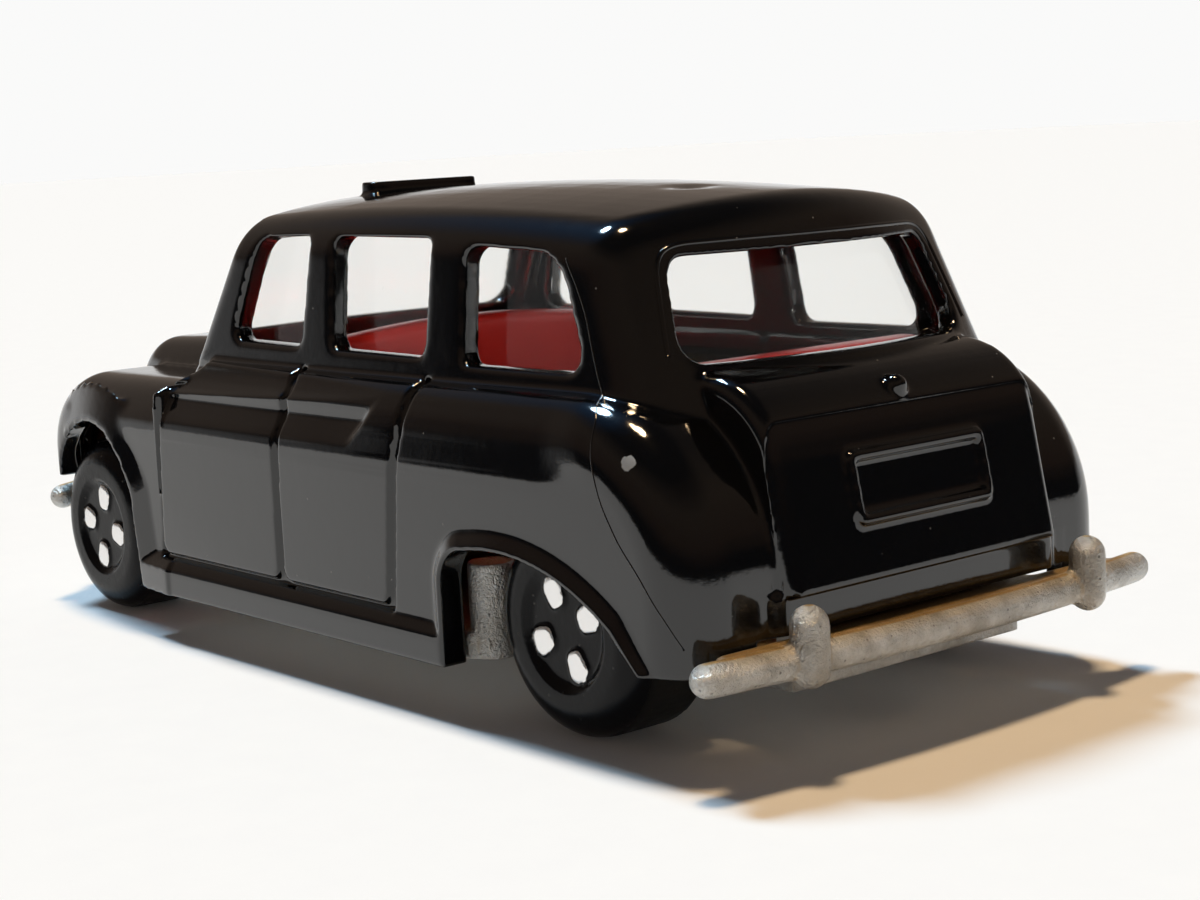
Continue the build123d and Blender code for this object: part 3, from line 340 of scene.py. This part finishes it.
red, tree, shader, place = new_material("red_plastic")
flow = placed(tree, mottle, {"Place": place, "Size": 4.0, "Contrast": 0.25})
fine = placed(tree, mottle, {"Place": place, "Size": 0.5, "Contrast": 0.3})
tree.links.new(mixed(tree, flow, (0.78, 0.022, 0.014), (0.88, 0.034, 0.020)), shader.inputs["Base Color"])
tree.links.new(ranged(tree, fine, 0, 1, 0.30, 0.42), shader.inputs["Roughness"])
bump = node(tree, "ShaderNodeBump", {"Height": fine, "Strength": 0.25, "Distance": 0.00003})
tree.links.new(bump.outputs["Normal"], shader.inputs["Normal"])

BENCH_FOOT_Z = 13.0
REAR_BENCH_X = -14
REAR_DROP = 0.3
FRONT_DROP = 0.04
SHOULDER_DROP = 0.15


def round_backs(points):
    """The rear bench's back ends lower than the front one's, which is round at its shoulders."""
    x, y, z = points.T
    towards_end = np.clip((np.abs(y) - 2) / 7, 0, 1) ** 1.5
    front_bench = np.abs(x - 2) < 4
    drop = np.where(x < REAR_BENCH_X, REAR_DROP, (FRONT_DROP + SHOULDER_DROP * towards_end) * front_bench)
    points[:, 2] = np.where(z > BENCH_FOOT_Z, z - (z - BENCH_FOOT_Z) * drop, z)
    return points


seats = softened("interior_tray", "seat_moulding", 0.00018, 4, 60000, round_backs)
seats.data.materials.clear()
seats.data.materials.append(red)
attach(seats, "chassis")
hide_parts("interior_tray")


# Glazing
# One clear polystyrene moulding pushed up inside the cabin, windows and roof in one shell.
# Age has left it slightly hazy, with fine scratches. Its hidden roof is left out here, and its
# panes are drawn thin, so that they bend the view through them no more than the real ones do.

clear, tree, shader, place = new_material("clear_plastic")
turned = node(tree, "ShaderNodeMapping", {"Vector": place, "Rotation": (0.5, 0.4, 0.9), "Scale": (1.0, 0.06, 0.06)})
scratches = placed(tree, specks, {"Place": turned.outputs["Vector"], "Spacing": 0.35, "Radius": 0.07, "Share": 0.35})
haze = placed(tree, mottle, {"Place": place, "Size": 1.5, "Contrast": 0.3})
rough = ranged(tree, haze, 0, 1, 0.02, 0.07)
rough = node(tree, "ShaderNodeMath", {0: scratches, 1: 0.35, 2: rough}, operation="MULTIPLY_ADD").outputs[0]
tree.links.new(rough, shader.inputs["Roughness"])
shader.inputs["Base Color"].default_value = (0.95, 0.955, 0.95, 1)
shader.inputs["Transmission Weight"].default_value = 1.0
shader.inputs["IOR"].default_value = 1.2
let_in = node(tree, "ShaderNodeMath", {0: node(tree, "ShaderNodeLightPath").outputs["Is Shadow Ray"], 1: -0.9, 2: 1.0},
              operation="MULTIPLY_ADD")
tree.links.new(let_in.outputs[0], shader.inputs["Alpha"])
bump = node(tree, "ShaderNodeBump", {"Height": scratches, "Strength": 0.3, "Distance": 0.00002})
tree.links.new(bump.outputs["Normal"], shader.inputs["Normal"])
GLASS_THINNER = 0.00055
PANE_TOP = 0.0196
PANE_MORE = 0.0012
CABIN_HEART = Vector((-0.006, 0, 0.0165))
glass_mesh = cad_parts["glazing"].data.copy()
glass_mesh.name = "window_moulding"
facing_of = {corner.vertex_index: corner.normal.copy() for corner in glass_mesh.loops}
for point in glass_mesh.vertices:  # the inner faces move out towards the outer ones
    facing = facing_of[point.index]
    if facing.dot(point.co - CABIN_HEART) < 0:
        point.co -= facing * GLASS_THINNER
glass_mesh.materials.clear()
glass_mesh.materials.append(clear)
form = bmesh.new()
form.from_mesh(glass_mesh)
crown = [face for face in form.faces if all(corner.vert.co.z > PANE_TOP for corner in face.loops)]
bmesh.ops.delete(form, geom=crown, context="FACES")
form.normal_update()
facing_at = {tuple(point.co): point.normal.copy() for point in form.verts}
rim = [edge for edge in form.edges if edge.is_boundary and all(end.co.z > PANE_TOP for end in edge.verts)]
for point in bmesh.ops.extrude_edge_only(form, edges=rim)["geom"]:  # the panes run on up behind the eaves
    if isinstance(point, bmesh.types.BMVert):
        facing = facing_at[tuple(point.co)]
        point.co += (Vector((0, 0, 1)) - facing * facing.z).normalized() * PANE_MORE
form.to_mesh(glass_mesh)
form.free()
glass = bpy.data.objects.new("window_moulding", glass_mesh)
bpy.context.scene.collection.objects.link(glass)
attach(glass, "chassis")
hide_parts("glazing")


# Body shell
# One zinc casting, dipped in thick black enamel that rounds every edge and fills the door lines.
# It drops over glazing and seats and is spun over under the base by its two posts.

enamel, tree, shader, place = new_material("black_enamel")
CHIP_PLACE = (-25.82, 12.84, 12.78)
CHIP_RADIUS = 0.34
swell = placed(tree, mottle, {"Place": place, "Size": 1.1, "Contrast": 0.3})
peel = placed(tree, mottle, {"Place": place, "Size": 0.28, "Contrast": 0.35})
dust = placed(tree, specks, {"Place": place, "Spacing": 0.8, "Radius": 0.07, "Share": 0.22})
chips = placed(tree, specks, {"Place": place, "Spacing": 0.7, "Radius": 0.55, "Share": 0.12})
worn_edge = ranged(tree, turn_of(tree), 0.10, 0.16, 0.0, 1.0)
bare = node(tree, "ShaderNodeMath", {0: worn_edge, 1: chips}, operation="MULTIPLY").outputs[0]
away = node(tree, "ShaderNodeVectorMath", {0: place, 1: CHIP_PLACE}, operation="DISTANCE").outputs["Value"]
ragged = node(tree, "ShaderNodeMath", {0: peel, 1: 0.25, 2: away}, operation="MULTIPLY_ADD").outputs[0]
chip = ranged(tree, ragged, CHIP_RADIUS + 0.12, CHIP_RADIUS + 0.08, 0.0, 1.0)
bare = node(tree, "ShaderNodeMath", {0: bare, 1: chip}, operation="MAXIMUM").outputs[0]
coat = mixed(tree, swell, (0.0017, 0.0017, 0.0021), (0.0024, 0.0022, 0.0022))
faint = node(tree, "ShaderNodeMath", {0: dust, 1: 0.7}, operation="MULTIPLY").outputs[0]
coat = mixed(tree, faint, coat, (0.35, 0.33, 0.30))
tree.links.new(mixed(tree, bare, coat, (0.55, 0.55, 0.54)), shader.inputs["Base Color"])
tree.links.new(node(tree, "ShaderNodeMath", {0: bare, 1: 0.9}, operation="MULTIPLY").outputs[0],
               shader.inputs["Metallic"])
gloss = ranged(tree, swell, 0, 1, 0.05, 0.10)
gloss = node(tree, "ShaderNodeMath", {0: bare, 1: 0.35, 2: gloss}, operation="MULTIPLY_ADD").outputs[0]
tree.links.new(gloss, shader.inputs["Roughness"])
shader.inputs["Specular IOR Level"].default_value = 0.7
wave = node(tree, "ShaderNodeMath", {0: peel, 1: 0.25, 2: swell}, operation="MULTIPLY_ADD").outputs[0]
bump = node(tree, "ShaderNodeBump", {"Height": wave, "Strength": 0.14, "Distance": 0.00003})
tree.links.new(bump.outputs["Normal"], shader.inputs["Normal"])

SHOULDER_CENTRE = (10.8, 12.6)  # y and z of the shoulder's round
MID_WALL = 2.08
LEAN_AT = ((11.0, 0.0), (11.6, 0.05), (12.6, 0.24), (13.4, 0.30), (14.2, 0.24), (15.0, 0.0))
SCOOP_AT = ((12.0, 0.0), (13.1, 0.36), (13.9, 0.06), (14.3, 0.0))
SCOOP_END = (-5.9, 12.05, -0.964)  # x and z of its blunt end, and how far that leans back with height
LID_FOOT = (-30.55, 7.0)  # x and z
LID_LEAN = 0.14
LID_MORE_LEAN = 0.062
LID_FULL_Z = 12
LID_FADE_Z = (12.5, 15)
LID_FADE_Y = (8.6, 9)
VALANCE_END_Y = (8.3, 9.1)
WING_TAIL_X = -29.62
DENT = (-17.4, 1.2, 0.9, 0.13)  # x, y, radius and depth


def eased(value, low, high):
    """Goes smoothly from 0 at low to 1 at high."""
    share = np.clip((value - low) / (high - low), 0, 1)
    return share * share * (3 - 2 * share)


def leaning_flanks(points):
    """Doors lean in towards the belt, with the scoop behind the front wing that ends in the rear door."""
    x, y, z = points.T
    above = np.maximum(z - SHOULDER_CENTRE[1], 0)
    outer = np.hypot(np.abs(y) - SHOULDER_CENTRE[0], above) > MID_WALL
    lean = np.interp(z, *zip(*LEAN_AT))
    end = SCOOP_END[0] + SCOOP_END[2] * (z - SCOOP_END[1])
    scoop = np.interp(z, *zip(*SCOOP_AT)) * eased(x, end, end + 0.35) * np.interp(x, (-6, 12), (1.0, 1.5))
    reach = eased(x, -25, -20) * eased(-x, -12.6, -11.9)
    points[:, 1] = y - np.sign(y) * (lean + scoop) * reach * outer
    return points


def worn_casting(points):
    """Leaning doors, a lid that leans a little more, valance ends that run into the wings, and a dented roof."""
    points = leaning_flanks(points)
    x, y, z = points.T
    lid = (x < LID_FOOT[0] + LID_LEAN * (z - LID_FOOT[1]) + 0.5) & (z > LID_FOOT[1] + 0.05)
    more = LID_MORE_LEAN * (np.minimum(z, LID_FULL_Z) - LID_FOOT[1])
    more = more * (1 - eased(z, *LID_FADE_Z)) * (1 - eased(np.abs(y), *LID_FADE_Y))
    ends = (x < WING_TAIL_X) & (z < LID_FOOT[1] + 0.3) & (np.abs(y) < 10.5)
    into_wing = (WING_TAIL_X - x) * eased(np.abs(y), *VALANCE_END_Y) * ends
    away = np.hypot(x - DENT[0], y - DENT[1])
    sunk = DENT[3] * np.exp(-((away / DENT[2]) ** 2)) * (z > 20)
    points[:, 0] = x + more * lid + into_wing
    points[:, 2] = z - sunk
    return points


def frames_and_crests(points):
    """Cabin walls below the roof and crests of the front wings, which are evened out further."""
    x, _, z = points.T
    return ((z > 15.5) & (z < 22.4) & (x < 12)) | ((z > 10.5) & (x > 13.5))


body = softened("body_shell", "body_casting", 0.0001, 14, 198000, worn_casting, frames_and_crests)
body.data.materials.clear()
body.data.materials.append(enamel)
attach(body, "chassis")
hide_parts("body_shell")

# Mould line: the thin raised line that the halves of the mould leave behind each quarter window and down the wing
MOULD_LINE = ((-19.53, 20.75), (-20.37, 19.68), (-21.14, 18.41), (-21.65, 17.01), (-22.13, 15.87), (-22.52, 15.11),
              (-23.56, 14.32), (-23.88, 13.2), (-24.6, 11.03), (-25.6, 9.49), (-26.86, 8.21), (-28.02, 6.62),
              (-28.65, 5.47))
MOULD_LINE_RADIUS = 0.05
# Rear window moulding: y and z, on both sides alike
WINDOW_LINE = ((9.2, 16.6), (8.9, 18.2), (8.45, 20.3), (8.0, 20.95), (7.2, 21.15), (3.6, 21.2), (0.0, 21.2))
WINDOW_LINE_RADIUS = 0.13


def laid(start, direction):
    """Point and normal of the casting where a line from outside meets it, in millimetres."""
    place, normal, _, _ = skin.ray_cast(Vector(start) / 1000, Vector(direction))
    return place * 1000, normal


BEAD_SIDES = 8


def bead(name, spots, radius):
    """A thin round line, half sunk in the casting, through points that lie on it."""
    rings = []
    for number, (spot, normal) in enumerate(spots):
        ahead = spots[min(number + 1, len(spots) - 1)][0]
        behind = spots[max(number - 1, 0)][0]
        across = (ahead - behind).cross(normal).normalized()
        heart = spot - normal * radius * 0.35
        angles = [math.tau * step / BEAD_SIDES for step in range(BEAD_SIDES)]
        rings.append([(heart + (normal * math.cos(a) + across * math.sin(a)) * radius) / 1000 for a in angles])
    faces = []
    for row in range(len(rings) - 1):
        first = row * BEAD_SIDES
        for column in range(BEAD_SIDES):
            following = (column + 1) % BEAD_SIDES
            faces.append((first + column, first + following,
                          first + BEAD_SIDES + following, first + BEAD_SIDES + column))
    faces.append(tuple(range(BEAD_SIDES)))
    last = len(rings) * BEAD_SIDES - 1
    faces.append(tuple(range(last, last - BEAD_SIDES, -1)))
    mesh = bpy.data.meshes.new(name)
    mesh.from_pydata([point for ring in rings for point in ring], [], faces)
    mesh.shade_smooth()
    mesh.materials.append(enamel)
    line = bpy.data.objects.new(name, mesh)
    bpy.context.scene.collection.objects.link(line)
    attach(line, "chassis")


def drawn_out(corners, count):
    """Evenly many points on a smooth line through corners."""
    corners = np.array(corners)
    along = np.concatenate(([0], np.cumsum(np.linalg.norm(np.diff(corners, axis=0), axis=1))))
    places = np.linspace(0, along[-1], count)
    line = np.stack([np.interp(places, along, corners[:, 0]), np.interp(places, along, corners[:, 1])], 1)
    for _ in range(12):
        line[1:-1] = (line[:-2] + 2 * line[1:-1] + line[2:]) / 4
    return line


skin = BVHTree.FromObject(body, bpy.context.evaluated_depsgraph_get())
for side_name, side in (("left", 1), ("right", -1)):
    line = drawn_out(MOULD_LINE, 120)
    bead(f"mould_line_{side_name}", [laid((x, side * 30, z), (0, -side, 0)) for x, z in line], MOULD_LINE_RADIUS)
half = list(WINDOW_LINE)
whole = half + [(-y, z) for y, z in reversed(half[:-1])]
line = drawn_out(whole, 160)
bead("rear_window_moulding", [laid((-50, y, z), (1, 0, 0)) for y, z in line], WINDOW_LINE_RADIUS)


# Table and light
# A pale matt table top, two soft lamps overhead, one cool and one warm, and a low fill that reaches
# the seats through the windows. The room is white low down behind the car and dim elsewhere.

FLOOR_HALF = 3.0
floor_mesh = bpy.data.meshes.new("table_top")
corners = [(-FLOOR_HALF, -FLOOR_HALF, 0), (FLOOR_HALF, -FLOOR_HALF, 0),
           (FLOOR_HALF, FLOOR_HALF, 0), (-FLOOR_HALF, FLOOR_HALF, 0)]
floor_mesh.from_pydata(corners, [], [(0, 1, 2, 3)])
floor = bpy.data.objects.new("table_top", floor_mesh)
bpy.context.scene.collection.objects.link(floor)
paper, tree, shader, place = new_material("pale_table")
fibre = placed(tree, mottle, {"Place": place, "Size": 3.0, "Contrast": 0.3})
tree.links.new(mixed(tree, fibre, (0.89, 0.89, 0.89), (0.91, 0.91, 0.905)), shader.inputs["Base Color"])
shader.inputs["Roughness"].default_value = 0.9
shader.inputs["Specular IOR Level"].default_value = 0.1
floor_mesh.materials.append(paper)


def lamp(name, direction, strength, colour, spread):
    """A soft lamp far away in a direction."""
    data = bpy.data.lights.new(name, "SUN")
    data.energy = strength
    data.color = colour
    data.angle = math.radians(spread)
    made = bpy.data.objects.new(name, data)
    made.rotation_mode = "QUATERNION"
    made.rotation_quaternion = Vector(direction).to_track_quat("Z", "Y")
    bpy.context.scene.collection.objects.link(made)
    return made


lamp("cool_lamp", (0.555, -0.03, 0.86), 2.68, (0.54, 0.785, 1.0), 11)
lamp("warm_lamp", (0.12, -0.07, 1.0), 1.93, (1.0, 0.70, 0.40), 9)
fill = lamp("low_fill", (-0.70, 0.70, 0.06), 0.65, (1.0, 0.98, 0.95), 20)
fill.visible_glossy = False

world = bpy.data.worlds.new("surround")
bpy.context.scene.world = world
world.use_nodes = True
tree = world.node_tree
ray = node(tree, "ShaderNodeTexCoord").outputs["Generated"]
height = node(tree, "ShaderNodeSeparateXYZ", {0: ray}).outputs["Z"]
BACKDROP_SIDE = (0.77, -0.63, 0.0)
GLOW_SIDE = (0.54, -0.03, 0.84)
GLOW = (0.05, 0.14, 0.30)
WHITE = (0.955, 0.955, 0.95)
ahead_of = node(tree, "ShaderNodeVectorMath", {0: ray, 1: BACKDROP_SIDE}, operation="DOT_PRODUCT")
backdrop = ranged(tree, ahead_of.outputs["Value"], 0.25, 0.6, 0.0, 1.0)


def banded(value, bands):
    """Colour that passes through bands, each with the height where it stands."""
    made = node(tree, "ShaderNodeValToRGB", {0: value})
    stops = made.color_ramp.elements
    while len(stops) < len(bands):
        stops.new(1.0)
    for stop, (position, colour) in zip(stops, bands):
        stop.position = position
        stop.color = (*colour, 1)
    return made.outputs["Color"]


around = banded(height, ((0.0, (0.30, 0.29, 0.28)), (0.02, (0.018, 0.018, 0.02)), (0.14, (0.02, 0.02, 0.022)),
                         (0.30, (0.10, 0.066, 0.05)), (0.6, (0.13, 0.096, 0.072)), (0.85, (0.02, 0.02, 0.022))))
beyond = banded(height, ((0.0, (0.93, 0.93, 0.925)), (0.07, (0.90, 0.89, 0.88)), (0.16, (0.26, 0.21, 0.175)),
                         (0.5, (0.17, 0.135, 0.11)), (0.8, (0.02, 0.02, 0.022))))
room = mixed(tree, backdrop, around, beyond)
near_lamp = node(tree, "ShaderNodeVectorMath", {0: ray, 1: GLOW_SIDE}, operation="DOT_PRODUCT")
glow = ranged(tree, near_lamp.outputs["Value"], 0.86, 1.0, 0.0, 1.0)
glow = node(tree, "ShaderNodeMath", {0: glow, 1: 2.0}, operation="POWER").outputs[0]
room = mixed(tree, glow, room, GLOW)
path = node(tree, "ShaderNodeLightPath")
seen = node(tree, "ShaderNodeMath",
            {0: path.outputs["Is Camera Ray"], 1: path.outputs["Is Transmission Ray"]}, operation="MAXIMUM")
shown = mixed(tree, seen.outputs[0], room, WHITE)
tree.links.new(shown, tree.nodes["Background"].inputs["Color"])
tree.nodes["Background"].inputs["Strength"].default_value = 1.0


# Camera
# Behind the left rear corner, a little above the roof, as in the photograph.

PHOTO_WIDTH = 1200
FOCAL_PIXELS = 2169.2
CAMERA_PLACE = Vector((-0.09165, 0.06831, 0.02583))
YAW, PITCH, ROLL = (math.radians(angle) for angle in (-39.39, -8.24, -2.98))
ahead = Vector((math.cos(PITCH) * math.cos(YAW), math.cos(PITCH) * math.sin(YAW), math.sin(PITCH)))
level = ahead.cross(Vector((0, 0, 1))).normalized()
above = level.cross(ahead)
side_axis = level * math.cos(ROLL) + above * math.sin(ROLL)
up_axis = above * math.cos(ROLL) - level * math.sin(ROLL)
lens = bpy.data.cameras.new("camera")
lens.sensor_width = 36.0
lens.lens = FOCAL_PIXELS / PHOTO_WIDTH * lens.sensor_width
lens.clip_start = 0.005
lens.clip_end = 50.0
camera = bpy.data.objects.new("camera", lens)
camera.matrix_world = Matrix.Translation(CAMERA_PLACE) @ Matrix((side_axis, up_axis, -ahead)).transposed().to_4x4()
bpy.context.scene.collection.objects.link(camera)
bpy.context.scene.camera = camera
bpy.context.scene.view_settings.view_transform = "Standard"
